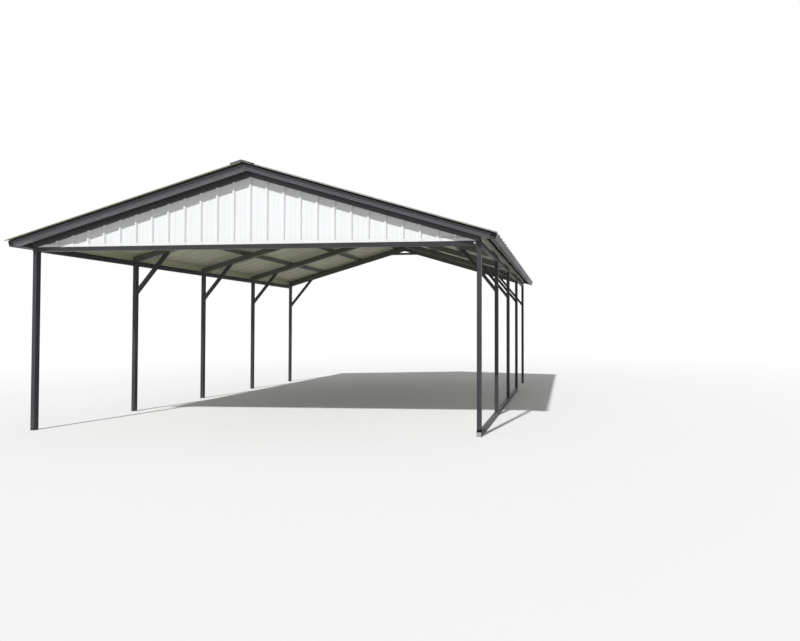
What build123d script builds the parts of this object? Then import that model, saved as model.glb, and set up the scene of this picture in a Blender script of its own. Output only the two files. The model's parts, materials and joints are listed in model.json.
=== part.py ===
from build123d import *
import os
from math import ceil, cos, radians, sin, tan

os.makedirs("parts", exist_ok=True)

# Two-car steel carport: five bents of square tube under a ribbed gable roof, open on all
# four sides, with a ribbed gable end over the front opening. Millimetres.
# X is to the right, the front faces -Y and Z is up. The origin is on the ground, in the
# middle of the roof's footprint.

# Frame
post_line_width = 6096.0     # between the centre lines of the left and right posts
bay = 1524.0                 # from one bent to the next
bent_count = 5
clear_height = 2420.0        # ground to the underside of the header and the eave rails
tube = 57.15                 # side of the posts, header and rails, and width of the rafters
rafter_depth = 101.6
tube_corner = 4.0            # outer corner radius of every tube
brace_tube = 50.8            # side of the knee and peak braces
roof_pitch = 16.4            # degrees
knee_drop = 430.0            # header underside down to where a knee brace meets its post
knee_reach = 520.0           # post face in to where a knee brace meets its rafter
peak_brace_drop = 98.0       # rafter underside at the ridge down to the peak brace's bottom
base_rail_bays = 3           # bays that the right base rail spans, from the front
rail_cap_wall = 3.0          # cap on the base rail's front end

# Roof
side_overhang = 250.0        # post centre line out to the sheet's lower edge
end_overhang = 150.0         # least reach of the sheets past the end bents, up to a whole rib
rib_pitch = 228.6
rib_height = 19.0
rib_base = 46.0
rib_crown = 20.0
minor_rib_height = 2.5
minor_rib_base = 24.0
minor_rib_crown = 12.0
sheet = 0.8
sheet_end_flat = 28.0        # flat end of a roof sheet past its outermost rib
ridge_gap = 12.0             # ridge line to the upper edge of each roof sheet
ridge_cap_leg = 150.0

# Hat channel purlins
hat_height = 38.1
hat_crown = 38.0
hat_flange = 24.0
hat_lean = 7.0               # how far a web leans out over its height
hat_wall = 1.2
ridge_purlin_x = 180.0
purlin_spacing = 990.0
purlin_count = 3             # on each side of the ridge

# Edge beams under the sheets' edges: rake beams across the purlins' ends, and eave beams
edge_beam_width = 72.0
edge_beam_depth = 80.0
rake_edge_setback = 53.0     # roof sheet's end back to a rake beam's outer face
eave_edge_setback = 2.0      # roof sheet's lower edge up to an eave beam's outer face
edge_joint_gap = 0.4         # end of a rake beam to the eave beam

# Eave channels, on the ends of the rafters
channel_wall = 1.2
channel_flange = 38.0
channel_foot_gap = 28.0      # top of the eave rail up to the channel's web

# Gable end
siding_setback = 6.0         # front face of the tubes back to the crowns of the siding
gable_trim_height = 38.0
gable_trim_depth = 28.0
gable_trim_wall = 1.0

slope = radians(roof_pitch)
post_x = post_line_width / 2
rail_inner = post_x - tube / 2
rail_outer = post_x + tube / 2
header_top = clear_height + tube
frame_length = bay * (bent_count - 1)
front_bent_y = -frame_length / 2
bent_ys = [front_bent_y + bay * i for i in range(bent_count)]
eave_x = post_x + side_overhang
sheet_ends = rib_base + 2 * sheet_end_flat
rib_gaps = ceil((frame_length + 2 * end_overhang - sheet_ends) / rib_pitch)
roof_length = rib_pitch * rib_gaps + sheet_ends
sheet_offset = rafter_depth + hat_height    # rafters' underside to the sheets' underside


def rafter_underside(x):
    """Height of the rafters' underside at a distance x from the ridge."""
    return header_top + (rail_inner - x) * tan(slope)


def above_underside(offset, x=0.0):
    """Height at x of the plane that lies offset above the rafters' underside, square to it."""
    return rafter_underside(x) + offset / cos(slope)


def down_slope(offset, x=0.0, y=0.0):
    """Plane whose Z runs down the right slope, X along +Y and Y out of the roof."""
    return Plane(
        origin=(x, y, above_underside(offset, x)),
        x_dir=(0, 1, 0),
        z_dir=(cos(slope), 0, -sin(slope)),
    )


def along_roof(offset, x, length):
    """Plane whose Z runs to the front, from half the length behind, X down the right slope."""
    return Plane(
        origin=(x, length / 2, above_underside(offset, x)),
        x_dir=(cos(slope), 0, -sin(slope)),
        z_dir=(0, -1, 0),
    )


def band(path, wall):
    """Closed outline of a thin sheet: the path and its copy, wall to the left of it."""
    points = [Vector(x, y) for x, y in path]
    runs = [(b - a).normalized() for a, b in zip(points, points[1:])]
    sides = [Vector(-run.Y, run.X) for run in runs]
    shifted = [points[0] + sides[0] * wall]
    for point, before, after in zip(points[1:-1], sides, sides[1:]):
        shifted.append(point + (before + after) * (wall / (1 + before.dot(after))))
    shifted.append(points[-1] + sides[-1] * wall)
    return make_face(Polyline(*points, *reversed(shifted), close=True))


def prism(outline, y_from, y_to):
    """Solid between two Y values with an outline given as (x, z) points."""
    face = make_face(Polyline(*outline, close=True))
    placed = Plane(origin=(0, y_to, 0), x_dir=(1, 0, 0), z_dir=(0, -1, 0)) * face
    return extrude(placed, y_to - y_from)


def tube_along(start, end, width, depth=None, roll=(0, 1, 0)):
    """Tube as a bar of its outer shape, from one centre point to another, square unless it has a depth."""
    line = Vector(*end) - Vector(*start)
    section = Plane(origin=start, x_dir=roll, z_dir=line.normalized())
    return extrude(section * RectangleRounded(width, depth or width, tube_corner), line.length)


def mirrored(solid):
    return solid.mirror(Plane.YZ)


def save(name, *solids):
    shape = solids[0] if len(solids) == 1 else Compound(children=list(solids))
    shape.label = name
    export_step(shape, f"parts/{name}.step")


def save_pair(name, *solids):
    """Writes the right-hand piece and its mirror image as the left-hand one."""
    save(name.format(side="right"), *solids)
    save(name.format(side="left"), *[mirrored(solid) for solid in solids])


def post(x, y, foot):
    return tube_along((x, y, foot), (x, y, clear_height), tube)


def right_post_foot(index):
    """Height that a right post starts at: on the base rail or on the ground."""
    return tube if index <= base_rail_bays else 0.0


def rafter(y):
    """Right rafter: plumb cut at the ridge and the eave, and level where it sits on the rail."""
    middle = rafter_depth / 2
    past_ends = rafter_depth
    bar = tube_along(
        (-past_ends, y, above_underside(middle, -past_ends)),
        (rail_outer + past_ends, y, above_underside(middle, rail_outer + past_ends)),
        tube,
        rafter_depth,
    )
    top = above_underside(rafter_depth * 2)
    outline = [
        (0, rafter_underside(0) - tube),
        (rail_inner, header_top - tube / 4),
        (rail_inner, header_top),
        (rail_outer, header_top),
        (rail_outer, top),
        (0, top),
    ]
    return bar & prism(outline, y - tube, y + tube)


def knee_brace(y):
    low = Vector(rail_inner, y, clear_height - knee_drop)
    high_x = rail_inner - knee_reach
    high = Vector(high_x, y, rafter_underside(high_x))
    run = (high - low).normalized() * brace_tube * 2
    bar = tube_along(low - run, high + run, brace_tube)
    outline = [
        (rail_inner, low.Z - brace_tube * 3),
        (rail_inner, header_top),
        (high_x - brace_tube * 3, rafter_underside(high_x - brace_tube * 3)),
        (high_x - brace_tube * 3, low.Z - brace_tube * 3),
    ]
    return bar & prism(outline, y - brace_tube, y + brace_tube)


def peak_brace(y):
    bottom = rafter_underside(0) - peak_brace_drop
    reach = peak_brace_drop / tan(slope)
    middle = bottom + brace_tube / 2
    bar = tube_along((-reach, y, middle), (reach, y, middle), brace_tube)
    outline = [(-reach, bottom), (reach, bottom), (0, rafter_underside(0))]
    return bar & prism(outline, y - brace_tube, y + brace_tube)


def hat_channel(x):
    """Right purlin: flanges on the rafters, crown under the sheet, open underneath."""
    half_crown = hat_crown / 2
    half_base = half_crown + hat_lean
    path = [
        (-half_base - hat_flange, 0),
        (-half_base, 0),
        (-half_crown, hat_height - hat_wall),
        (half_crown, hat_height - hat_wall),
        (half_base, 0),
        (half_base + hat_flange, 0),
    ]
    length = roof_length - 2 * (rake_edge_setback + edge_beam_width)
    place = along_roof(rafter_depth, x, length)
    return extrude(place * band(path, hat_wall), length)


def rib_path(count):
    """Ribs and flat pans across the sheet, from one outer rib to the other."""
    path = []
    first = -rib_pitch * (count - 1) / 2
    pan = rib_pitch - rib_base
    for i in range(count):
        centre = first + rib_pitch * i
        path += [
            (centre - rib_base / 2, 0),
            (centre - rib_crown / 2, rib_height),
            (centre + rib_crown / 2, rib_height),
            (centre + rib_base / 2, 0),
        ]
        if i < count - 1:
            for share in (1 / 3, 2 / 3):
                middle = centre + rib_base / 2 + pan * share
                path += [
                    (middle - minor_rib_base / 2, 0),
                    (middle - minor_rib_crown / 2, minor_rib_height),
                    (middle + minor_rib_crown / 2, minor_rib_height),
                    (middle + minor_rib_base / 2, 0),
                ]
    return path


def roof_sheet():
    """Right roof sheet, its ribs running from the ridge down to the eave."""
    place = down_slope(sheet_offset, ridge_gap)
    run = (eave_x - ridge_gap) / cos(slope)
    path = [(-roof_length / 2, 0), *rib_path(rib_gaps + 1), (roof_length / 2, 0)]
    return extrude(place * band(path, sheet), run)


def ridge_cap():
    """Inverted V on the crowns of both roof sheets."""
    crown = above_underside(sheet_offset + rib_height + sheet)
    reach = ridge_cap_leg * cos(slope)
    drop = ridge_cap_leg * sin(slope)
    path = [(-reach, crown - drop), (0, crown), (reach, crown - drop)]
    place = Plane(origin=(0, roof_length / 2, 0), x_dir=(1, 0, 0), z_dir=(0, -1, 0))
    return extrude(place * band(path, sheet), roof_length)


def rake_beam():
    """Right front beam under the sheet's end: plumb cut at the ridge, square at the eave beam."""
    outer_face = roof_length / 2 - rake_edge_setback
    place = down_slope(sheet_offset, 0, -outer_face)
    past_ridge = edge_beam_depth
    middle = Pos(edge_beam_width / 2, -edge_beam_depth / 2, -past_ridge)
    section = middle * RectangleRounded(edge_beam_width, edge_beam_depth, tube_corner)
    run = eave_x / cos(slope) - eave_edge_setback - edge_beam_width - edge_joint_gap
    beam = extrude(place * section, past_ridge + run)
    keep = Box(eave_x, roof_length, 3 * eave_x, align=(Align.MIN, Align.CENTER, Align.CENTER))
    return beam & (Pos(0, 0, header_top) * keep)


def eave_beam():
    """Right beam under the sheet's lower edge, past the feet of the rake beams to their faces."""
    length = roof_length - 2 * rake_edge_setback
    middle = Pos(-eave_edge_setback - edge_beam_width / 2, -edge_beam_depth / 2)
    section = middle * RectangleRounded(edge_beam_width, edge_beam_depth, tube_corner)
    return extrude(along_roof(sheet_offset, eave_x, length) * section, length)


def eave_channel():
    """Web over the ends of the right rafters, and a flange that turns in under the sheet."""
    x_out = rail_outer + channel_wall
    x_in = x_out - channel_flange
    path = [
        (x_out, header_top + channel_foot_gap),
        (x_out, above_underside(sheet_offset, x_out)),
        (x_in, above_underside(sheet_offset, x_in)),
    ]
    length = frame_length + tube
    place = Plane(origin=(0, length / 2, 0), x_dir=(1, 0, 0), z_dir=(0, -1, 0))
    return extrude(place * band(path, channel_wall), length)


def gable_outline(bottom, inset=0.0):
    reach = (rafter_underside(0) - bottom - inset) / tan(slope)
    return [(-reach, bottom), (reach, bottom), (0, rafter_underside(0) - inset)]


def gable_siding():
    """Ribbed sheet between the header and the front rafters, ribs upright and facing out."""
    crown_y = front_bent_y - tube / 2 + siding_setback
    half_ribs = int(rail_inner // rib_pitch) + 1
    path = [(x, -y) for x, y in rib_path(2 * half_ribs + 1)]
    place = Plane(
        origin=(0, crown_y + rib_height + sheet, header_top),
        x_dir=(1, 0, 0),
        z_dir=(0, 0, 1),
    )
    sheet_solid = extrude(place * band(path, -sheet), rafter_underside(0) - header_top)
    mask = prism(
        gable_outline(header_top + gable_trim_wall),
        crown_y - rib_height,
        crown_y + 3 * rib_height,
    )
    return sheet_solid & mask


def gable_base_trim():
    """Angle along the foot of the siding: a leg in front of the ribs and one under them."""
    front = front_bent_y - tube / 2 + siding_setback - gable_trim_wall
    path = [
        (front, gable_trim_height),
        (front, 0),
        (front + gable_trim_depth, 0),
    ]
    place = Plane(origin=(-rail_inner, 0, header_top), x_dir=(0, 1, 0), z_dir=(1, 0, 0))
    strip = extrude(place * band(path, gable_trim_wall), 2 * rail_inner)
    mask = prism(gable_outline(header_top), front - tube, front + 2 * tube)
    return strip & mask


for i, y in enumerate(bent_ys):
    number = i + 1
    save(f"post_left_{number}", post(-post_x, y, 0.0))
    save(f"post_right_{number}", post(post_x, y, right_post_foot(i)))
    save_pair("rafter_{side}_" + str(number), rafter(y))
    if i > 0:
        save_pair("knee_brace_{side}_" + str(number), knee_brace(y))

save("peak_braces", *[peak_brace(y) for y in bent_ys[1:]])

level = clear_height + tube / 2
save("front_header", tube_along(
    (-rail_inner, front_bent_y, level), (rail_inner, front_bent_y, level), tube))

rail_end = frame_length / 2 + tube / 2
save_pair("eave_rail_{side}", tube_along(
    (post_x, -rail_end, level), (post_x, rail_end, level), tube, roll=(1, 0, 0)))

purlin_xs = [ridge_purlin_x + purlin_spacing * i for i in range(purlin_count)]
save_pair("purlins_{side}", *[hat_channel(x) for x in purlin_xs])

save_pair("roof_sheet_{side}", roof_sheet())
save("ridge_cap", ridge_cap())
save_pair("edge_beams_{side}", rake_beam(), rake_beam().mirror(Plane.XZ), eave_beam())
save_pair("eave_channel_{side}", eave_channel())

save("gable_siding", gable_siding())
save("gable_base_trim", gable_base_trim())

base_rail_front = (post_x, front_bent_y - tube / 2, tube / 2)
base_rail_back = (post_x, bent_ys[base_rail_bays] + tube / 2, tube / 2)
cap_front = (post_x, base_rail_front[1] - rail_cap_wall, tube / 2)
save("base_rail_right", tube_along(base_rail_front, base_rail_back, tube, roll=(1, 0, 0)))
save("base_rail_cap", tube_along(cap_front, base_rail_front, tube, roll=(1, 0, 0)))
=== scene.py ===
import json
from math import ceil, cos, pi, radians, sin, tan
from random import Random

import bmesh
import bpy
from mathutils import Matrix, Vector


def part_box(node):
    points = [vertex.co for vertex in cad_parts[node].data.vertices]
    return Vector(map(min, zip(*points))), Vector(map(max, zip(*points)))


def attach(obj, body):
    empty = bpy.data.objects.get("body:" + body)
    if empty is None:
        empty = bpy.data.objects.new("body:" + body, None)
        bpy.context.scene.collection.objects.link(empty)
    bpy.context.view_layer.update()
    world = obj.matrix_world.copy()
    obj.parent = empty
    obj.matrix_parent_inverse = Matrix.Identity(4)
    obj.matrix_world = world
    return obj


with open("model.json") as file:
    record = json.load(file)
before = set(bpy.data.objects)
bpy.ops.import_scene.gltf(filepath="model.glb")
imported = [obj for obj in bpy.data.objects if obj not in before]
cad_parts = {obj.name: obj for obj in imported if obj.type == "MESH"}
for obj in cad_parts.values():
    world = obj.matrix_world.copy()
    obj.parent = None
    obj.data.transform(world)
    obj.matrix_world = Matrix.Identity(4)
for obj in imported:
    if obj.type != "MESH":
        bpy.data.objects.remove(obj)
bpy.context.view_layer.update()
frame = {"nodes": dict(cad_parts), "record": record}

# Sizes read from the frame, in metres


def size_of(node):
    low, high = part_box(node)
    return high - low


def middle_of(node):
    low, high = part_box(node)
    return (low + high) / 2


BENTS = range(1, 6)
SIDES = {"left": -1, "right": 1}
ENDS = {"front": -1, "rear": 1}
TUBE = size_of("post_left_1").x
BRACE = size_of("knee_brace_left_2").y
POST_X = middle_of("post_right_1").x
BENT_YS = [middle_of(f"post_left_{i}").y for i in BENTS]
CLEAR_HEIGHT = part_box("front_header")[0].z
HEADER_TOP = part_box("front_header")[1].z
FRAME_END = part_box("eave_rail_right")[1].y
RAIL_INNER = POST_X - TUBE / 2
RAIL_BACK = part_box("base_rail_right")[1].y
ROOF_LENGTH = size_of("roof_sheet_right").y
SHEET_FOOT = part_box("roof_sheet_right")[0].z
SIDING_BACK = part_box("gable_siding")[1].y
TRIM_FRONT_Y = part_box("gable_base_trim")[0].y
TRIM_HEIGHT = size_of("gable_base_trim").z

# Sizes of the section that the frame gives only as whole pieces

ROOF_PITCH = radians(16.4)
SHEET = 0.0008
LAP_SHEET = 0.0007
RIB_PITCH = 0.2286
RIB_BASE = 0.046
RIB_CROWN = 0.020
RIB_HEIGHT = 0.019
RAFTER_DEPTH = 0.1016
EDGE_WIDTH, EDGE_DEPTH = 0.072, 0.080
RAKE_SETBACK, EAVE_SETBACK = 0.053, 0.002
KNEE_DROP, KNEE_REACH = 0.430, 0.520
CAP_LEG = 0.150
TUBE_CORNER = 0.004

RIB_COUNT = round((ROOF_LENGTH - RIB_BASE) / RIB_PITCH) + 1
RIB_YS = [RIB_PITCH * (i - (RIB_COUNT - 1) / 2) for i in range(RIB_COUNT)]
LAP_EVERY = 4                # ribs that one sheet covers before the next sheet laps it
LAP_YS = RIB_YS[LAP_EVERY:-1:LAP_EVERY]
SIDING_RIBS = int(RAIL_INNER / RIB_PITCH)
SIDING_PAN_Y = SIDING_BACK - SHEET
EAVE_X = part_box("roof_sheet_right")[1].x - (RIB_HEIGHT + SHEET) * sin(ROOF_PITCH)
RAKE_FACE = ROOF_LENGTH / 2 - RAKE_SETBACK

UP = Vector((0, 0, 1))
RIGHT = Vector((1, 0, 0))
FORWARD = Vector((0, -1, 0))


def rafter_underside(x):
    """Height of the rafters' underside at a distance x from the ridge."""
    return HEADER_TOP + (RAIL_INNER - x) * tan(ROOF_PITCH)


def sheet_underside(x):
    """Height of the roof sheets' underside at a distance x from the ridge."""
    return SHEET_FOOT + (EAVE_X - x) * tan(ROOF_PITCH)


def channel_web(side):
    """How far an eave channel's web stands from the middle."""
    return max(abs(corner.x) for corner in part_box(f"eave_channel_{side}"))


def place_at(origin, x_way, z_way):
    """Frame at a point with its X and Z along two ways that are square to each other."""
    turn = Matrix((x_way, z_way.cross(x_way), z_way)).transposed().to_4x4()
    return Matrix.Translation(origin) @ turn


def facing_front(x, y, z):
    return place_at(Vector((x, y, z)), RIGHT, FORWARD)


def slope_ways(side):
    """The ways down a roof slope and square out of it."""
    sign = SIDES[side]
    down = Vector((sign * cos(ROOF_PITCH), 0, -sin(ROOF_PITCH)))
    out = Vector((sign * sin(ROOF_PITCH), 0, cos(ROOF_PITCH)))
    return down, out


def roof_place(side, x, y, lift=0.0):
    """Frame on a slope at x out from the ridge, lift above the sheet's underside.

    Its X runs down the slope and its Z points out of the roof.
    """
    down, out = slope_ways(side)
    underside = Vector((SIDES[side] * x, y, sheet_underside(x)))
    return place_at(underside + out * lift, down, out)


def put_in_scene(name, data):
    thing = bpy.data.objects.new(name, data)
    bpy.context.scene.collection.objects.link(thing)
    return thing


# The photograph's camera

IMAGE_WIDTH = 800
FOCAL_PIXELS = 484.71
CENTRE_COLUMN = 530
CAMERA_PLACE = Vector((4.1457, BENT_YS[0] - 6.0757, 1.3587))
CAMERA_YAW, CAMERA_PITCH, CAMERA_ROLL = -0.0746, 0.0173, -0.0015
SENSOR_WIDTH = 36


def make_camera():
    ahead = Vector((
        sin(CAMERA_YAW) * cos(CAMERA_PITCH),
        cos(CAMERA_YAW) * cos(CAMERA_PITCH),
        sin(CAMERA_PITCH),
    ))
    level_right = Vector((cos(CAMERA_YAW), -sin(CAMERA_YAW), 0))
    level_up = level_right.cross(ahead)
    right = level_right * cos(CAMERA_ROLL) + level_up * sin(CAMERA_ROLL)
    up = level_up * cos(CAMERA_ROLL) - level_right * sin(CAMERA_ROLL)
    data = bpy.data.cameras.new("camera")
    data.sensor_width = SENSOR_WIDTH
    data.lens = FOCAL_PIXELS / IMAGE_WIDTH * SENSOR_WIDTH
    data.shift_x = (IMAGE_WIDTH / 2 - CENTRE_COLUMN) / IMAGE_WIDTH
    camera = put_in_scene("camera", data)
    turn = Matrix((right, up, -ahead)).transposed().to_4x4()
    camera.matrix_world = Matrix.Translation(CAMERA_PLACE) @ turn
    bpy.context.scene.camera = camera


# Shader nodes

MIXED_COLOUR = 2             # a Mix node's output for colours


class Value:
    """A socket's number. Arithmetic on it adds Math nodes."""

    def __init__(self, nodes, socket):
        self.nodes = nodes
        self.socket = socket

    def __add__(self, other):
        return self.nodes.maths("ADD", self, other)

    def __radd__(self, other):
        return self.nodes.maths("ADD", other, self)

    def __rsub__(self, other):
        return self.nodes.maths("SUBTRACT", other, self)

    def __mul__(self, other):
        return self.nodes.maths("MULTIPLY", self, other)

    def __rmul__(self, other):
        return self.nodes.maths("MULTIPLY", other, self)

    def __gt__(self, other):
        return self.nodes.maths("GREATER_THAN", self, other)

    def __abs__(self):
        return self.nodes.maths("ABSOLUTE", self)

    def held(self):
        """The number held between 0 and 1."""
        return self.nodes.maths("ADD", self, 0.0, clamp=True)

    def between(self, low, high, first=0.0, last=1.0):
        """First up to low, last from high on and straight in between."""
        return self.nodes.node("ShaderNodeMapRange", {"clamp": True}, self, low, high, first, last)


class Nodes:
    """A node tree and the values that are worked out in it."""

    def __init__(self, tree):
        self.tree = tree

    def put(self, socket, value):
        if isinstance(value, Value):
            self.tree.links.new(value.socket, socket)
        else:
            socket.default_value = value

    def node(self, kind, settings=None, *values, output=0, **named):
        """Adds a node, its settings first, and returns the value of one of its outputs.

        The values go in order to the sockets that those settings leave in use.
        """
        node = self.tree.nodes.new(kind)
        for name, setting in (settings or {}).items():
            setattr(node, name, setting)
        in_use = [socket for socket in node.inputs if socket.enabled]
        for socket, value in zip(in_use, values):
            self.put(socket, value)
        for label, value in named.items():
            self.put(node.inputs[label], value)
        return Value(self, node.outputs[output])

    def maths(self, operation, *values, clamp=False):
        settings = {"operation": operation, "use_clamp": clamp}
        return self.node("ShaderNodeMath", settings, *values)

    def ray(self, kind):
        """1 on a kind of light path, such as Camera, and 0 on the others."""
        return self.node("ShaderNodeLightPath", output=f"Is {kind} Ray")


class Finish(Nodes):
    """One material: a Principled surface and what varies over it."""

    def __init__(self, name, **constants):
        self.material = bpy.data.materials.new(name)
        self.material.use_nodes = True
        super().__init__(self.material.node_tree)
        self.surface = self.tree.nodes["Principled BSDF"]
        for label, value in constants.items():
            self.surface.inputs[label.replace("_", " ")].default_value = value

    def vary(self, label, value):
        self.put(self.surface.inputs[label], value)

    def place(self, stretch=(1, 1, 1)):
        """Position on the object in metres, stretched along its axes."""
        where = self.node("ShaderNodeTexCoord", output="Object")
        return self.node("ShaderNodeVectorMath", {"operation": "MULTIPLY"}, where, Vector(stretch))

    def axis(self, name):
        return self.node("ShaderNodeSeparateXYZ", None, self.place(), output=name)

    def facing(self, name):
        """How far the surface faces along an axis, from -1 to 1."""
        normal = self.node("ShaderNodeNewGeometry", output="Normal")
        return self.node("ShaderNodeSeparateXYZ", None, normal, output=name)

    def noise(self, scale, detail=3.0, stretch=(1, 1, 1)):
        place = self.place(stretch)
        return self.node("ShaderNodeTexNoise", None, Vector=place, Scale=scale, Detail=detail)

    def mix(self, share, first, second):
        """First colour where share is 0, second where it is 1."""
        colours = [c if isinstance(c, Value) else (*c, 1.0) for c in (first, second)]
        return self.node("ShaderNodeMix", {"data_type": "RGBA"}, share, *colours, output=MIXED_COLOUR)

    def bump(self, height, distance):
        self.vary("Normal", self.node("ShaderNodeBump", None, Distance=distance, Height=height))


# Colours, in linear light

CHARCOAL = (0.039, 0.041, 0.048)
# The header's colour is the frame paint made darker: painted shade on the header.
HEADER_CHARCOAL_PAINTED_SHADE = (0.030, 0.031, 0.035)
TRIM_CHARCOAL = (0.086, 0.088, 0.101)
# The rafters' colours are the frame paint made lighter (olive inside, less so on the front bent): painted
# light bounced up under the roof.
RAFTER_CHARCOAL_PAINTED_LIGHT = (0.120, 0.120, 0.102)
FRONT_RAFTER_CHARCOAL_PAINTED_LIGHT = (0.066, 0.067, 0.072)
CHARCOAL_DUST = (0.130, 0.125, 0.112)
# Near-black copy of the frame paint for the eave beams' end caps: painted shade on the beams' ends.
BLACK_SHADE_PAINT = (0.018, 0.019, 0.022)
NEAR_BLACK = (0.006, 0.006, 0.0065)
ROOF_GREY = (0.235, 0.240, 0.238)
ROOF_DUST = (0.300, 0.292, 0.265)
BACKER = (0.545, 0.550, 0.400)
BACKER_MARKS = (0.400, 0.405, 0.300)
WHITE = (0.830, 0.840, 0.850)
WHITE_DUST = (0.620, 0.600, 0.545)
HAT_GREY = (0.125, 0.128, 0.115)
HAT_SHINE = (0.200, 0.204, 0.190)
LIP_GREY = (0.280, 0.284, 0.292)
CHANNEL_GREY = (0.760, 0.765, 0.750)
CHANNEL_MARKS = (0.520, 0.515, 0.480)
CAP_GREY = (0.400, 0.400, 0.398)
CAP_DIRT = (0.170, 0.155, 0.130)
ZINC = (0.720, 0.725, 0.735)
FLOOR_SEEN = (0.80, 0.80, 0.80)
FLOOR_BOUNCE = (0.50, 0.50, 0.50)

# Heights and distances at which a finish changes, in metres

SPLASH_LOW, SPLASH_HIGH = 0.02, 0.34
EAVE_DUST_START, EAVE_DUST_END = 2.3, 3.32
SIDING_DUST_HEIGHT = 0.16
CHANNEL_DUST_LOW, CHANNEL_DUST_HIGH = 0.02, 0.07
FLOOR_FADE_START, FLOOR_FADE_END = 7.0, 16.0

# Finishes


def charcoal_paint(name="charcoal_paint", colour=CHARCOAL, gloss=0.36):
    """Satin paint on steel: faint clouds and runs, dust on top faces, splashes near the ground."""
    finish = Finish(name, Specular_IOR_Level=0.25)
    clouds = finish.noise(1.6, 4).between(0.35, 0.7)
    grain = finish.noise(260, 2)
    runs = finish.noise(9, 4, (1, 1, 0.08)).between(0.5, 0.75)
    near_ground = 1 - finish.axis("Z").between(SPLASH_LOW, SPLASH_HIGH)
    splash = near_ground * finish.noise(34, 5).between(0.42, 0.68)
    on_top = finish.facing("Z").between(0.35, 0.95)
    specks = finish.noise(85, 2).between(0.66, 0.72)
    dust = (0.08 * clouds + 0.10 * runs + 0.5 * splash + 0.20 * on_top + 0.12 * specks).held()
    finish.vary("Base Color", finish.mix(dust, colour, CHARCOAL_DUST))
    finish.vary("Roughness", gloss + 0.12 * clouds + 0.3 * dust)
    finish.bump(0.3 * clouds + 0.1 * grain, 0.0006)
    return finish.material


def weld_paint():
    """The same paint over rough beads, a little darker where it burnt."""
    finish = Finish("weld_paint", Specular_IOR_Level=0.4)
    ripple = finish.noise(420, 3)
    scorch = finish.noise(60, 3).between(0.4, 0.7)
    finish.vary("Base Color", finish.mix(scorch, CHARCOAL, NEAR_BLACK))
    finish.vary("Roughness", 0.38 + 0.25 * scorch)
    finish.bump(ripple, 0.0008)
    return finish.material


# Black rubber for the seals under screws and the post's collar, also used as painted shade on the rake
# tapes and the eave strips.
def black_rubber_and_painted_shade():
    finish = Finish("black_rubber_and_painted_shade", Specular_IOR_Level=0.05)
    pores = finish.noise(700, 2)
    chalk = finish.noise(24, 4).between(0.45, 0.8)
    finish.vary("Base Color", finish.mix(0.06 * chalk, NEAR_BLACK, CHARCOAL_DUST))
    finish.vary("Roughness", 0.72 + 0.15 * chalk)
    finish.bump(pores, 0.0004)
    return finish.material


def roof_sheet_finish():
    """Coated sheet: grey outside with dust down the slope, olive-grey backer underneath."""
    finish = Finish("roof_sheet", Specular_IOR_Level=0.4)
    outside = finish.facing("Z") > 0.0
    down_slope = finish.noise(2.2, 5, (0.35, 5.0, 0.35)).between(0.42, 0.72)
    patches = finish.noise(0.9, 3).between(0.35, 0.75)
    grain = finish.noise(310, 2)
    near_eave = abs(finish.axis("X")).between(EAVE_DUST_START, EAVE_DUST_END)
    at_eave = near_eave * finish.noise(14, 4).between(0.4, 0.7)
    dust = (0.45 * down_slope + 0.25 * patches + 0.35 * at_eave).held()
    streaks = finish.noise(3.0, 5, (0.6, 4.0, 0.6)).between(0.45, 0.75)
    marks = (0.5 * streaks + 0.4 * patches).held()
    top = finish.mix(dust, ROOF_GREY, ROOF_DUST)
    underneath = finish.mix(marks, BACKER, BACKER_MARKS)
    finish.vary("Base Color", finish.mix(outside, underneath, top))
    finish.vary("Roughness", 0.40 + 0.2 * dust + 0.06 * grain)
    waves = finish.noise(2.4, 1, (0.5, 1.6, 0.5))
    finish.bump(waves + 0.02 * grain, 0.004)
    return finish.material


def siding_finish():
    """White coated sheet with faint runs below the rafters and dust along its foot."""
    finish = Finish("siding_white", Specular_IOR_Level=0.4)
    runs = finish.noise(7, 5, (2.2, 2.2, 0.18)).between(0.50, 0.80)
    patches = finish.noise(1.3, 3).between(0.4, 0.8)
    low = 1 - finish.axis("Z").between(HEADER_TOP, HEADER_TOP + SIDING_DUST_HEIGHT)
    foot = low * finish.noise(22, 4, (1, 1, 0.4)).between(0.40, 0.72)
    grain = finish.noise(330, 2)
    dust = (0.16 * runs + 0.06 * patches + 0.20 * foot).held()
    finish.vary("Base Color", finish.mix(dust, WHITE, WHITE_DUST))
    finish.vary("Roughness", 0.36 + 0.3 * dust + 0.05 * grain)
    waves = finish.noise(2.1, 1, (1.8, 1.0, 0.6))
    finish.bump(waves + 0.02 * grain, 0.003)
    return finish.material


def hat_finish():
    """Dull galvanized steel with a faint spangle and rolling marks along its length."""
    finish = Finish("purlin_steel", Specular_IOR_Level=0.4)
    spangle = finish.node("ShaderNodeTexVoronoi", None, Vector=finish.place(), Scale=85.0, output="Color")
    flakes = finish.node("ShaderNodeSeparateColor", None, spangle)
    rolling = finish.noise(30, 3, (1, 0.03, 1)).between(0.4, 0.7)
    clouds = finish.noise(1.9, 4).between(0.35, 0.7)
    shine = (0.35 * flakes + 0.3 * rolling + 0.2 * clouds).held()
    finish.vary("Base Color", finish.mix(shine, HAT_GREY, HAT_SHINE))
    finish.vary("Roughness", 0.62 - 0.2 * shine)
    finish.bump(0.3 * rolling + 0.1 * flakes, 0.0005)
    return finish.material


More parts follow.
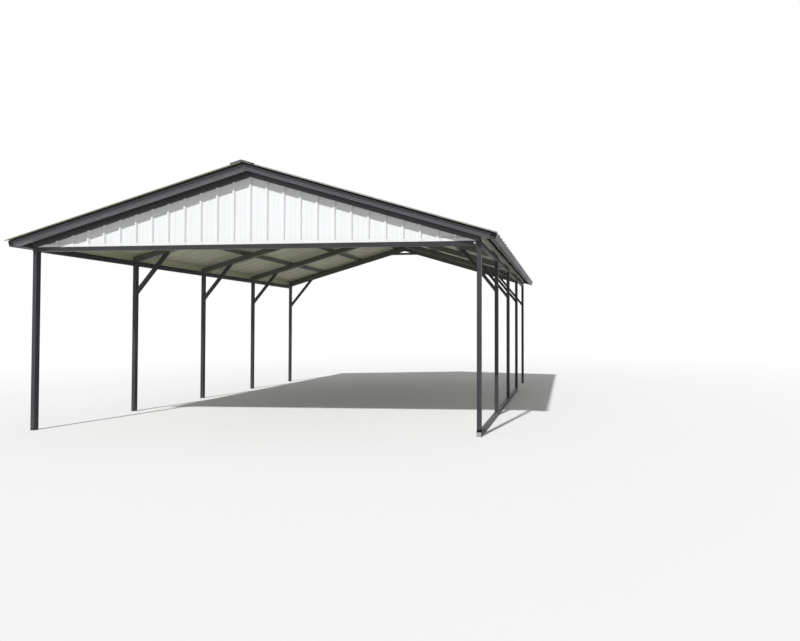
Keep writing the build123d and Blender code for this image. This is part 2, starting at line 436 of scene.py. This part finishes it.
def channel_finish():
    """Light metallic coat outside, streaked along its length, and the olive-grey backer inside."""
    finish = Finish("light_trim", Specular_IOR_Level=0.4)
    outside = finish.axis("X") * finish.facing("X") > 0.0
    rolling = finish.noise(26, 3, (1, 0.05, 1)).between(0.4, 0.75)
    marks = finish.noise(5, 5, (1, 0.6, 2.5)).between(0.5, 0.75)
    low = 1 - finish.axis("Z").between(HEADER_TOP + CHANNEL_DUST_LOW, HEADER_TOP + CHANNEL_DUST_HIGH)
    dirt = (0.25 * rolling + 0.35 * marks + 0.3 * low * marks).held()
    coat = finish.mix(dirt, CHANNEL_GREY, CHANNEL_MARKS)
    backer = finish.mix(0.5 * dirt, BACKER, BACKER_MARKS)
    finish.vary("Base Color", finish.mix(outside, backer, coat))
    finish.vary("Metallic", 0.75 * outside)
    finish.vary("Roughness", 0.42 + 0.25 * dirt)
    finish.bump(rolling + finish.noise(3.0, 1), 0.0012)
    return finish.material


def lip_finish():
    """Underside of the rake trim: a lighter grey than its face, streaked along the slope."""
    finish = Finish("rake_lip", Specular_IOR_Level=0.4)
    streaks = finish.noise(30, 4, (0.3, 2.5, 0.3)).between(0.4, 0.75)
    marks = finish.noise(6, 4).between(0.45, 0.75)
    dirt = (0.5 * streaks + 0.4 * marks).held()
    finish.vary("Base Color", finish.mix(dirt, LIP_GREY, CHARCOAL_DUST))
    finish.vary("Roughness", 0.48 + 0.15 * streaks)
    finish.bump(streaks, 0.0005)
    return finish.material


def cap_finish():
    """Light cap, dirtier towards the ground."""
    finish = Finish("cap_grey", Specular_IOR_Level=0.4)
    low = 1 - finish.axis("Z").between(0.0, TUBE * 0.8)
    grime = finish.noise(60, 4).between(0.4, 0.7)
    splash = finish.noise(90, 4).between(0.4, 0.65)
    dirt = (0.25 * grime + 0.6 * low * splash).held()
    finish.vary("Base Color", finish.mix(dirt, CAP_GREY, CAP_DIRT))
    finish.vary("Roughness", 0.45 + 0.35 * dirt)
    finish.bump(finish.noise(180, 3), 0.0006)
    return finish.material


def zinc_finish():
    finish = Finish("zinc", Metallic=0.85)
    wear = finish.noise(240, 4).between(0.35, 0.7)
    finish.vary("Base Color", finish.mix(wear, ZINC, CAP_GREY))
    finish.vary("Roughness", 0.28 + 0.25 * wear)
    finish.bump(wear, 0.0003)
    return finish.material


def floor_finish():
    """Pale floor that fades to white far off and throws light back up as a mid grey does.

    From below it is clear, so that the carport's underside can be looked at.
    """
    finish = Finish("floor", Roughness=0.9)
    in_view = finish.ray("Camera")
    seen = finish.maths("MAXIMUM", in_view, finish.ray("Glossy"))
    finish.vary("Base Color", finish.mix(seen, FLOOR_BOUNCE, FLOOR_SEEN))
    surface = Value(finish, finish.surface.outputs["BSDF"])
    glow = finish.node("ShaderNodeEmission", None, (1, 1, 1, 1), 1.0)
    clear = finish.node("ShaderNodeBsdfTransparent")
    distance = finish.node("ShaderNodeVectorMath", {"operation": "LENGTH"}, finish.place(), output="Value")
    far_off = in_view * distance.between(FLOOR_FADE_START, FLOOR_FADE_END)
    from_below = in_view * finish.node("ShaderNodeNewGeometry", output="Backfacing")
    faded = finish.node("ShaderNodeMixShader", None, far_off, surface, glow)
    shown = finish.node("ShaderNodeMixShader", None, from_below, faded, clear)
    finish.put(finish.tree.nodes["Material Output"].inputs["Surface"], shown)
    return finish.material


FRAME_FINISH = charcoal_paint()
TRIM_FINISH = charcoal_paint("trim_paint", TRIM_CHARCOAL, 0.40)
# A darker copy of the frame paint: painted shade on the header.
HEADER_FINISH_PAINTED_SHADE = charcoal_paint("header_paint_painted_shade", HEADER_CHARCOAL_PAINTED_SHADE)
# Lighter copies of the frame paint: painted light on the rafters and peak braces.
RAFTER_FINISH_PAINTED_LIGHT = charcoal_paint("rafter_paint_painted_light", RAFTER_CHARCOAL_PAINTED_LIGHT)
FRONT_RAFTER_FINISH_PAINTED_LIGHT = charcoal_paint("front_rafter_paint_painted_light", FRONT_RAFTER_CHARCOAL_PAINTED_LIGHT)
# Painted shade on the eave beams' end caps.
BLACK_SHADE_FINISH = charcoal_paint("black_cap_painted_shade", BLACK_SHADE_PAINT, 0.45)
LIP_FINISH = lip_finish()
WELD_FINISH = weld_paint()
BLACK_RUBBER_AND_PAINTED_SHADE = black_rubber_and_painted_shade()
ROOF_FINISH = roof_sheet_finish()
SIDING_FINISH = siding_finish()
HAT_FINISH = hat_finish()
CHANNEL_FINISH = channel_finish()
CAP_FINISH = cap_finish()
ZINC_FINISH = zinc_finish()

SLOT_FINISHES = {
    "frame_paint": FRAME_FINISH,
    "trim_paint": TRIM_FINISH,
    "roof_sheet": ROOF_FINISH,
    "siding_white": SIDING_FINISH,
    "purlin_steel": HAT_FINISH,
    "light_trim": CHANNEL_FINISH,
    "cap_grey": CAP_FINISH,
}


def paint(node, finish):
    materials = frame["nodes"][node].data.materials
    materials.clear()
    materials.append(finish)


def paint_nodes():
    """Every node in its slot's finish, with the header in a darker copy of the frame paint for painted
    shade, and the rafters and peak braces in lighter copies for painted light.
    """
    for part in frame["record"]["subparts"]:
        paint(part["node"], SLOT_FINISHES[part["material_slot"]])
    # The header's darker paint is painted shade; the rafters' and peak braces' lighter paint is painted
    # light.
    paint("front_header", HEADER_FINISH_PAINTED_SHADE)
    paint("peak_braces", RAFTER_FINISH_PAINTED_LIGHT)
    for side in SIDES:
        for i in BENTS:
            paint(f"rafter_{side}_{i}", RAFTER_FINISH_PAINTED_LIGHT if i > 1 else FRONT_RAFTER_FINISH_PAINTED_LIGHT)


# Mesh pieces

SHARP_ANGLE = radians(38)
CORNER_STEPS = 3


def circle(radius, sides, turn=0.0):
    angles = [turn + 2 * pi * i / sides for i in range(sides)]
    return [(radius * cos(angle), radius * sin(angle)) for angle in angles]


def rounded_rectangle(width, depth, corner):
    """Outline of a tube's section, as points from its middle."""
    outline = []
    for quarter, (sx, sy) in enumerate(((1, 1), (-1, 1), (-1, -1), (1, -1))):
        for i in range(CORNER_STEPS + 1):
            angle = pi / 2 * (quarter + i / CORNER_STEPS)
            outline.append((sx * (width / 2 - corner) + corner * cos(angle),
                            sy * (depth / 2 - corner) + corner * sin(angle)))
    return outline


def band(path, wall):
    """Closed outline of a thin sheet: the path and its copy, wall to the left of it."""
    points = [Vector(point) for point in path]
    runs = [(b - a).normalized() for a, b in zip(points, points[1:])]
    sides = [Vector((-run.y, run.x)) for run in runs]
    copy = [points[0] + sides[0] * wall]
    for point, before, after in zip(points[1:-1], sides, sides[1:]):
        copy.append(point + (before + after) * (wall / (1 + before.dot(after))))
    copy.append(points[-1] + sides[-1] * wall)
    return [tuple(point) for point in points + copy[::-1]]


class Piece:
    """A mesh gathered from like solids. It rides on the carport when it is closed."""

    def __init__(self, name, slot, finish):
        self.name = name
        self.slot = slot
        self.finish = finish
        self.points = []
        self.faces = []

    def skin(self, rings, place=Matrix.Identity(4), looped=False):
        """Skin over rings of as many points each, with ends unless the last joins the first."""
        first = len(self.points)
        count = len(rings[0])
        starts = [first + count * i for i in range(len(rings))]
        self.points += [place @ Vector(point) for ring in rings for point in ring]
        pairs = list(zip(starts, starts[1:]))
        if looped:
            pairs.append((starts[-1], starts[0]))
        else:
            self.faces.append([starts[0] + i for i in reversed(range(count))])
            self.faces.append([starts[-1] + i for i in range(count)])
        for low, high in pairs:
            for i in range(count):
                j = (i + 1) % count
                self.faces.append([low + i, low + j, high + j, high + i])

    def turned(self, profile, sides, place, turn=0.0):
        """Turned shape about Z from (radius, height) pairs."""
        rings = [[(x, y, height) for x, y in circle(radius, sides, turn)] for radius, height in profile]
        self.skin(rings, place)

    def swept(self, outline, length, place):
        """Bar along X with an outline given as (y, z) points."""
        self.skin([[(x, y, z) for y, z in outline] for x in (0, length)], place)

    def swept_across(self, outline, length, place):
        """Bar along Y with its middle at the place. The outline's y points back along X."""
        start = Matrix.Rotation(pi / 2, 4, "Z") @ Matrix.Translation((-length / 2, 0, 0))
        self.swept(outline, length, place @ start)

    def close(self):
        mesh = bpy.data.meshes.new(self.name)
        mesh.from_pydata(self.points, [], self.faces)
        tidy = bmesh.new()
        tidy.from_mesh(mesh)
        bmesh.ops.recalc_face_normals(tidy, faces=tidy.faces)
        tidy.to_mesh(mesh)
        tidy.free()
        mesh.polygons.foreach_set("use_smooth", [True] * len(mesh.polygons))
        mesh.set_sharp_from_angle(angle=SHARP_ANGLE)
        mesh.materials.append(self.finish)
        piece = put_in_scene(self.name, mesh)
        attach(piece, "root")


# Screws and bolts. A profile is (radius, height) pairs

SCREW_HEX = 0.0046           # from the middle to a corner of the head
SCREW_FLANGE = 0.0072
SEAL_THICKNESS = 0.0018
SEAL_SIDES, FLANGE_SIDES, HEX_SIDES = 10, 12, 6
SEAL_PROFILE = [(SCREW_FLANGE * 0.94, 0), (SCREW_FLANGE * 0.9, SEAL_THICKNESS)]
FLANGE_PROFILE = [(SCREW_FLANGE, 0), (SCREW_FLANGE, 0.0006), (SCREW_FLANGE * 0.7, 0.0013)]
HEAD_PROFILE = [(SCREW_HEX, 0.0008), (SCREW_HEX, 0.0044), (SCREW_HEX * 0.8, 0.0052)]


class Screws:
    """Hex washer heads, with a rubber ring under each where the sheet has to stay dry."""

    def __init__(self, name, slot, finish, seed, sealed=True):
        self.heads = Piece(name, slot, finish)
        self.seals = Piece(name + "_seals", "frame_paint", BLACK_RUBBER_AND_PAINTED_SHADE) if sealed else None
        self.random = Random(seed)

    def drive(self, place):
        if self.seals:
            self.seals.turned(SEAL_PROFILE, SEAL_SIDES, place)
            place = place @ Matrix.Translation((0, 0, SEAL_THICKNESS))
        self.heads.turned(FLANGE_PROFILE, FLANGE_SIDES, place)
        self.heads.turned(HEAD_PROFILE, HEX_SIDES, place, self.random.uniform(0, pi))

    def close(self):
        self.heads.close()
        if self.seals:
            self.seals.close()


def spaced(start, end, spacing):
    count = ceil((end - start) / spacing)
    return [start + (end - start) * i / count for i in range(count + 1)]


BESIDE_RIB = RIB_BASE / 2 + 0.016
SCREWED_PURLIN_XS = [1.170, 2.160]       # the lower two of the three on a side
STITCH_START, STITCH_SPACING = 0.30, 0.60
RAKE_SCREW_START, RAKE_SCREW_SPACING = 0.26, 0.42
RAKE_SCREW_STOP = 0.2        # how far short of the eave line they end


def roof_screws():
    """Into the lower purlins and eave beams beside the ribs, through the laps, and into the rake beams."""
    screws = Screws("roof_screws", "roof_sheet", ROOF_FINISH, 11)
    eave_line = EAVE_X - (EAVE_SETBACK + EDGE_WIDTH / 2) * cos(ROOF_PITCH)
    rake_y = RAKE_FACE - EDGE_WIDTH / 2
    for side in SIDES:
        for x in SCREWED_PURLIN_XS + [eave_line]:
            for y in RIB_YS[:-1]:
                screws.drive(roof_place(side, x, y + BESIDE_RIB, SHEET))
        for x in spaced(STITCH_START, eave_line, STITCH_SPACING):
            for y in LAP_YS:
                screws.drive(roof_place(side, x, y, RIB_HEIGHT + SHEET + LAP_SHEET))
        for x in spaced(RAKE_SCREW_START, eave_line - RAKE_SCREW_STOP, RAKE_SCREW_SPACING):
            for sign in ENDS.values():
                screws.drive(roof_place(side, x, sign * rake_y, SHEET))
    screws.close()


CAP_SCREW_INSET = 0.028      # from the ridge cap's lower edge


def ridge_cap_screws():
    screws = Screws("ridge_cap_screws", "trim_paint", TRIM_FINISH, 12)
    x = (CAP_LEG - CAP_SCREW_INSET) * cos(ROOF_PITCH)
    for side in SIDES:
        for y in RIB_YS:
            screws.drive(roof_place(side, x, y, RIB_HEIGHT + 2 * SHEET))
    screws.close()


SIDING_SCREW_INSET = 0.028   # below the rafters' underside


def siding_screws():
    screws = Screws("siding_screws", "siding_white", SIDING_FINISH, 13)
    for i in range(-SIDING_RIBS, SIDING_RIBS + 1):
        x = i * RIB_PITCH + BESIDE_RIB
        top = rafter_underside(abs(x)) - SIDING_SCREW_INSET
        screws.drive(facing_front(x, TRIM_FRONT_Y, HEADER_TOP + TRIM_HEIGHT / 2))
        if top > HEADER_TOP + 2 * TRIM_HEIGHT:
            screws.drive(facing_front(x, SIDING_PAN_Y, top))
    screws.close()


CHANNEL_SCREW_RISES = (0.050, 0.096)     # above the header's top


def channel_screws():
    """Two in each rafter's end, through the web of the eave channel."""
    screws = Screws("eave_channel_screws", "frame_paint", FRAME_FINISH, 14, sealed=False)
    for side, sign in SIDES.items():
        for y in BENT_YS:
            for rise in CHANNEL_SCREW_RISES:
                spot = Vector((sign * channel_web(side), y, HEADER_TOP + rise))
                screws.drive(place_at(spot, Vector((0, 1, 0)), Vector((sign, 0, 0))))
    screws.close()


BOLT_X = RAIL_INNER - 0.026
BOLT_HEIGHT = CLEAR_HEIGHT + TUBE * 0.52
BOLT_TURN = radians(12)
WASHER_SIDES = 24
WASHER_PROFILE = [(0.0150, 0), (0.0150, 0.0016), (0.0142, 0.0022)]
BOLT_PROFILE = [(0.0108, 0.002), (0.0108, 0.0072), (0.0088, 0.0086)]


def header_bolts():
    """One bolt at each end of the header: bare zinc on the right, painted over on the left."""
    for side, finish, slot in (("left", FRAME_FINISH, "frame_paint"), ("right", ZINC_FINISH, "cap_grey")):
        bolt = Piece(f"header_bolt_{side}", slot, finish)
        place = facing_front(SIDES[side] * BOLT_X, BENT_YS[0] - TUBE / 2, BOLT_HEIGHT)
        bolt.turned(WASHER_PROFILE, WASHER_SIDES, place)
        bolt.turned(BOLT_PROFILE, HEX_SIDES, place, BOLT_TURN)
        bolt.close()


# Laps, hems and trims of the sheets

LAP_WALL = LAP_SHEET * 0.9
LAP_LIP = 0.012
LAP_EDGE = 0.003             # how far up the rib's flank the lap ends
LAP_UNDER_CAP = 0.03
LAP_EAVE_GAP = 0.002
LAP_RAFTER_GAP = 0.003
LAP_TRIM_GAP = 0.001
HEM_RADIUS = 0.0022
HEM_SIDES = 10
HEM_SHORT = 0.003


def rib_cover(rise):
    """Path over a rib from a lip on the pan beyond it, at a rise above the sheet."""
    return [
        (RIB_BASE / 2 + LAP_LIP, rise),
        (RIB_BASE / 2, rise),
        (RIB_CROWN / 2, RIB_HEIGHT + rise),
        (-RIB_CROWN / 2, RIB_HEIGHT + rise),
        (-RIB_BASE / 2 + LAP_EDGE, rise + LAP_EDGE),
    ]


def roof_laps():
    laps = Piece("roof_laps", "roof_sheet", ROOF_FINISH)
    outline = band(rib_cover(SHEET + LAP_SHEET), LAP_WALL)
    start = CAP_LEG * cos(ROOF_PITCH) - LAP_UNDER_CAP
    length = (EAVE_X - start) / cos(ROOF_PITCH) - LAP_EAVE_GAP
    for side in SIDES:
        for y in LAP_YS:
            laps.swept(outline, length, roof_place(side, start, y))
    laps.close()


def siding_laps():
    """Over every fourth rib of the gable, from the base trim to the rafters."""
    laps = Piece("siding_laps", "siding_white", SIDING_FINISH)
    outline = band(rib_cover(LAP_SHEET), LAP_WALL)
    foot = HEADER_TOP + TRIM_HEIGHT + LAP_TRIM_GAP
    for i in range(-SIDING_RIBS + 2, SIDING_RIBS, LAP_EVERY):
        lower, upper = [], []
        for across, rise in outline:
            x, y = i * RIB_PITCH + across, SIDING_PAN_Y - rise
            lower.append((x, y, foot))
            upper.append((x, y, rafter_underside(abs(x)) - LAP_RAFTER_GAP))
        laps.skin([lower, upper])
    laps.close()


def ridge_hems():
    """Rolled lower edges of the ridge cap."""
    hems = Piece("ridge_hems", "trim_paint", TRIM_FINISH)
    for side in SIDES:
        edge = roof_place(side, CAP_LEG * cos(ROOF_PITCH), 0, RIB_HEIGHT + SHEET * 1.5)
        hems.swept_across(circle(HEM_RADIUS, HEM_SIDES), ROOF_LENGTH - HEM_SHORT, edge)
    hems.close()


RAKE_TRIM_WALL = 0.0010
RAKE_TRIM_OUT = 0.0110
RAKE_TRIM_FOOT = 0.0012      # how far the cover still stands out at its lower edge
RAKE_TRIM_TOP = -0.018       # below the beam's top edge, with the tape above it
RAKE_FOLD_GAP = 0.0002
RAKE_TRIM_FOLD = -EDGE_DEPTH - RAKE_FOLD_GAP
RAKE_BEAD = 0.020
RAKE_BEAD_STEP, RAKE_BEAD_DROP = 0.003, 0.0018
RAKE_GAP = 0.0005
RAKE_SHADE_TAPE_BACK = 0.0004
RAKE_LIP_SHORT = 0.002       # how far the lip ends before the beam's inner edge


def along_rakes(piece, outline):
    """Four lengths of a folded sheet on the rake beams, mitred at the ridge. Points are (out, rise)."""
    foot = EAVE_X / cos(ROOF_PITCH) - EAVE_SETBACK - EDGE_WIDTH
    for side in SIDES:
        for sign in ENDS.values():
            place = roof_place(side, 0, sign * RAKE_FACE)
            outward = sign * place.col[1].y
            upper = [(-rise * tan(ROOF_PITCH), outward * out, rise) for out, rise in outline]
            lower = [(foot, outward * out, rise) for out, rise in outline]
            piece.skin([upper, lower], place)


def rake_trims():
    """Folded cover on the face of each rake beam, leaning in below a bead, and its lip under the beam.

    A black tape fills the face between the cover and the sheet: painted shade for the shadow line under the
    sheet's edge.
    """
    trims = Piece("rake_trims", "frame_paint", TRIM_FINISH)
    bead_foot = RAKE_TRIM_TOP - RAKE_BEAD
    along_rakes(trims, band([
        (RAKE_GAP, RAKE_TRIM_TOP),
        (RAKE_TRIM_OUT, RAKE_TRIM_TOP),
        (RAKE_TRIM_OUT, bead_foot),
        (RAKE_TRIM_OUT - RAKE_BEAD_STEP, bead_foot - RAKE_BEAD_DROP),
        (RAKE_TRIM_FOOT, RAKE_TRIM_FOLD),
    ], RAKE_TRIM_WALL))
    trims.close()
    lips = Piece("rake_lips", "light_trim", LIP_FINISH)
    along_rakes(lips, band([
        (RAKE_TRIM_FOOT - RAKE_FOLD_GAP, RAKE_TRIM_FOLD),
        (-EDGE_WIDTH + RAKE_LIP_SHORT, RAKE_TRIM_FOLD),
    ], RAKE_TRIM_WALL))
    lips.close()
    # Black tape: painted shade along the top of the rake beam's face, under the sheet's edge.
    shade_tapes = Piece("rake_shade_tapes", "frame_paint", BLACK_RUBBER_AND_PAINTED_SHADE)
    along_rakes(shade_tapes, band([
        (RAKE_SHADE_TAPE_BACK, -RAKE_GAP),
        (RAKE_SHADE_TAPE_BACK, RAKE_TRIM_TOP + RAKE_GAP),
    ], RAKE_TRIM_OUT - RAKE_TRIM_WALL))
    shade_tapes.close()


CAP_END_FACES = (-0.0013, -0.0001)       # back and front, measured outward from the sheets' ends


def ridge_cap_ends():
    """Ends of the ridge cap, folded down over the ends of the sheets."""
    ends = Piece("ridge_cap_ends", "trim_paint", TRIM_FINISH)
    depth = RIB_HEIGHT + SHEET
    corners = [(CAP_LEG, 0.0), (CAP_LEG, depth), (-depth * tan(ROOF_PITCH), depth), (0.0, 0.0)]
    for side in SIDES:
        for sign in ENDS.values():
            place = roof_place(side, 0, sign * ROOF_LENGTH / 2)
            outward = sign * place.col[1].y
            ends.skin([[(x, outward * out, rise) for x, rise in corners] for out in CAP_END_FACES], place)
    ends.close()


# Sizes of the black strip that is painted shade at the eave.
SHADE_STRIP_WIDTH, SHADE_STRIP_DEPTH, SHADE_STRIP_CORNER = 0.020, 0.019, 0.003
SHADE_STRIP_OUT = 0.016             # from the channel's web
SHADE_STRIP_DROP = 0.0100           # below the sheet's underside
SHADE_STRIP_SHORT = 0.01


def eave_shade_strips():
    """Black strip in the corner between the eave channel's web and the roof sheet: painted shade along that
    joint.
    """
    seals = Piece("eave_shade_strips", "frame_paint", BLACK_RUBBER_AND_PAINTED_SHADE)
    outline = rounded_rectangle(SHADE_STRIP_WIDTH, SHADE_STRIP_DEPTH, SHADE_STRIP_CORNER)
    for side in SIDES:
        place = roof_place(side, channel_web(side) + SHADE_STRIP_OUT, 0, -SHADE_STRIP_DROP)
        seals.swept_across(outline, 2 * FRAME_END - SHADE_STRIP_SHORT, place)
    seals.close()


# Welds, end caps and the post's collar

WELD_RADIUS = 0.0032
WELD_SWELL = (0.78, 1.12)    # how much the bead thins and thickens
WELD_STEP = 0.0065
WELD_SIDES = 6


class Welds:
    """Rippled beads around the ends of tubes."""

    def __init__(self, name, seed):
        self.beads = Piece(name, "frame_paint", WELD_FINISH)
        self.random = Random(seed)

    def run(self, corners, normal):
        """Bead along a closed run of corners that lie in one plane."""
        corners = [Vector(corner) for corner in corners]
        rings = []
        for start, end in zip(corners, corners[1:] + corners[:1]):
            outward = (end - start).normalized().cross(normal)
            steps = max(2, round((end - start).length / WELD_STEP))
            for i in range(steps):
                bead = circle(WELD_RADIUS * self.random.uniform(*WELD_SWELL), WELD_SIDES)
                centre = start.lerp(end, i / steps)
                rings.append([centre + normal * up + outward * across for up, across in bead])
        self.beads.skin(rings, looped=True)

    def close(self):
        self.beads.close()


def level_square(x, y, z, width=TUBE):
    half = width / 2
    return [
        (x - half, y - half, z),
        (x + half, y - half, z),
        (x + half, y + half, z),
        (x - half, y + half, z),
    ]


def upright_square(x, y_from, y_to, z_from, z_to):
    return [(x, y_from, z_from), (x, y_to, z_from), (x, y_to, z_to), (x, y_from, z_to)]


def post_welds():
    """Under and over the eave rail at each post, at the feet on the base rail, and at the header's ends."""
    welds = Welds("post_welds", 21)
    front = BENT_YS[0]
    for side, sign in SIDES.items():
        for i, y in zip(BENTS, BENT_YS):
            welds.run(level_square(sign * POST_X, y, CLEAR_HEIGHT), UP)
            welds.run(level_square(sign * POST_X, y, HEADER_TOP), UP)
            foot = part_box(f"post_{side}_{i}")[0].z
            if foot > TUBE / 2:
                welds.run(level_square(sign * POST_X, y, foot), UP)
        welds.run(upright_square(sign * RAIL_INNER, front - TUBE / 2, front + TUBE / 2,
                                 CLEAR_HEIGHT, HEADER_TOP), RIGHT)
    welds.close()


def ridge_welds():
    """Where the rafters of each bent and the rake beams of each end meet at the ridge."""
    welds = Welds("ridge_welds", 22)
    low = rafter_underside(0)
    high = low + RAFTER_DEPTH / cos(ROOF_PITCH)
    for y in BENT_YS:
        welds.run(upright_square(0, y - TUBE / 2, y + TUBE / 2, low, high), RIGHT)
    top = sheet_underside(0)
    bottom = top - EDGE_DEPTH / cos(ROOF_PITCH)
    for sign in ENDS.values():
        outer = sign * RAKE_FACE
        inner = outer - sign * EDGE_WIDTH
        welds.run(upright_square(0, outer, inner, bottom, top), RIGHT)
    welds.close()


def brace_welds():
    """Around both ends of every knee brace, and where the peak braces meet the rafters."""
    welds = Welds("brace_welds", 23)
    half_width = Vector((0, BRACE / 2, 0))
    low_z = CLEAR_HEIGHT - KNEE_DROP
    high_x = RAIL_INNER - KNEE_REACH
    peak_low, peak_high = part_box("peak_braces")
    peak_narrow = peak_high.x - (peak_high.z - peak_low.z) / tan(ROOF_PITCH)
    for side, sign in SIDES.items():
        down, out = slope_ways(side)
        for y in BENT_YS[1:]:
            low = Vector((sign * RAIL_INNER, y, low_z))
            high = Vector((sign * high_x, y, rafter_underside(high_x)))
            way = (high - low).normalized()
            half_foot = UP * (BRACE / 2 / abs(way.x))
            half_head = down * (BRACE / 2 / way.cross(down).length)
            for end, half, normal in ((low, half_foot, RIGHT), (high, half_head, out)):
                welds.run([end - half - half_width, end - half + half_width,
                           end + half + half_width, end + half - half_width], normal)
            wide = Vector((sign * peak_high.x, y, peak_low.z))
            narrow = Vector((sign * peak_narrow, y, peak_high.z))
            welds.run([wide - half_width, wide + half_width,
                       narrow + half_width, narrow - half_width], out)
    welds.close()


# A pressed cap's rim, bevel and sunk face, as (share of its outline, height) pairs
CAP_PROFILE = [(1.0, 0.0), (1.0, 0.0016), (0.965, 0.0026), (0.86, 0.0026), (0.83, 0.0018)]


def cap(piece, place, width, depth):
    """Pressed cap on a tube's end."""
    rings = []
    for share, height in CAP_PROFILE:
        ring = rounded_rectangle(width * share, depth * share, TUBE_CORNER * share)
        rings.append([(x, y, height) for x, y in ring])
    piece.skin(rings, place)


def end_caps():
    """On both ends of the eave rails and the rear end of the base rail."""
    caps = Piece("end_caps", "frame_paint", FRAME_FINISH)
    level = CLEAR_HEIGHT + TUBE / 2
    for sign in SIDES.values():
        for end in ENDS.values():
            rail_end = Vector((sign * POST_X, end * FRAME_END, level))
            cap(caps, place_at(rail_end, RIGHT, Vector((0, end, 0))), TUBE, TUBE)
    cap(caps, place_at(Vector((POST_X, RAIL_BACK, TUBE / 2)), RIGHT, -FORWARD), TUBE, TUBE)
    caps.close()


def eave_beam_caps():
    """Black caps on the ends of the eave beams, their black painted shade for the dark ends of the beams.
    """
    caps = Piece("eave_beam_caps", "frame_paint", BLACK_SHADE_FINISH)
    middle = EAVE_X / cos(ROOF_PITCH) - EAVE_SETBACK - EDGE_WIDTH / 2
    for side in SIDES:
        down = slope_ways(side)[0]
        for end in ENDS.values():
            centre = roof_place(side, 0, end * RAKE_FACE) @ Vector((middle, 0, -EDGE_DEPTH / 2))
            cap(caps, place_at(centre, down, Vector((0, end, 0))), EDGE_WIDTH, EDGE_DEPTH)
    caps.close()


def base_rail_cap_face():
    """Pressed face of the light cap on the base rail's front end."""
    face = Piece("base_rail_cap_face", "cap_grey", CAP_FINISH)
    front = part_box("base_rail_cap")[0].y
    cap(face, facing_front(POST_X, front, TUBE / 2), TUBE, TUBE)
    face.close()


COLLAR_HEIGHT = 0.036
COLLAR_WALL = 0.0016
COLLAR_BEVEL = 0.0014
# As (share of the wall, height) pairs
COLLAR_PROFILE = [
    (0.4, 0.0002),
    (1.0, COLLAR_BEVEL),
    (1.0, COLLAR_HEIGHT - COLLAR_BEVEL),
    (0.4, COLLAR_HEIGHT),
]


def post_collar():
    """Black band around the foot of the front right post."""
    collar = Piece("post_collar", "frame_paint", BLACK_RUBBER_AND_PAINTED_SHADE)
    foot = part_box("post_right_1")[0].z
    rings = []
    for share, height in COLLAR_PROFILE:
        width = TUBE + 2 * COLLAR_WALL * share
        ring = rounded_rectangle(width, width, TUBE_CORNER + COLLAR_WALL)
        rings.append([(x, y, height) for x, y in ring])
    collar.skin(rings, Matrix.Translation((POST_X, BENT_YS[0], foot)))
    collar.close()


# Floor and light

FLOOR_SIZE = 120
SUN_HEIGHT, SUN_TURN = radians(49), radians(14)
SUN_ANGLE = radians(1.8)
SUN_STRENGTH = 3.3
SKY_STRENGTH = 0.34


def make_floor():
    mesh = bpy.data.meshes.new("floor")
    mesh.from_pydata(level_square(0, 0, 0, FLOOR_SIZE), [], [(0, 1, 2, 3)])
    mesh.materials.append(floor_finish())
    floor = put_in_scene("floor", mesh)


def make_sun():
    data = bpy.data.lights.new("sun", "SUN")
    data.energy = SUN_STRENGTH
    data.angle = SUN_ANGLE
    towards = Vector((
        -sin(SUN_TURN) * cos(SUN_HEIGHT),
        -cos(SUN_TURN) * cos(SUN_HEIGHT),
        sin(SUN_HEIGHT),
    ))
    sun = put_in_scene("sun", data)
    sun.rotation_mode = "QUATERNION"
    sun.rotation_quaternion = towards.to_track_quat("Z", "Y")


def make_sky():
    """White wherever it is seen, in gloss and through glass too, and dimmer as light."""
    world = bpy.data.worlds.new("studio")
    bpy.context.scene.world = world
    world.use_nodes = True
    sky = Nodes(world.node_tree)
    seen = sky.maths("MAXIMUM", sky.ray("Camera"), sky.ray("Glossy"))
    seen = sky.maths("MAXIMUM", seen, sky.ray("Transmission"))
    background = world.node_tree.nodes["Background"]
    sky.put(background.inputs["Color"], (1, 1, 1, 1))
    sky.put(background.inputs["Strength"], seen.between(0.0, 1.0, SKY_STRENGTH, 1.0))


make_camera()
make_floor()
make_sun()
make_sky()
paint_nodes()

roof_laps()
roof_screws()
ridge_hems()
ridge_cap_screws()
rake_trims()
ridge_cap_ends()
siding_laps()
siding_screws()
eave_shade_strips()
channel_screws()
header_bolts()
post_welds()
ridge_welds()
brace_welds()
end_caps()
eave_beam_caps()
base_rail_cap_face()
post_collar()

bpy.context.scene.view_settings.view_transform = "Standard"
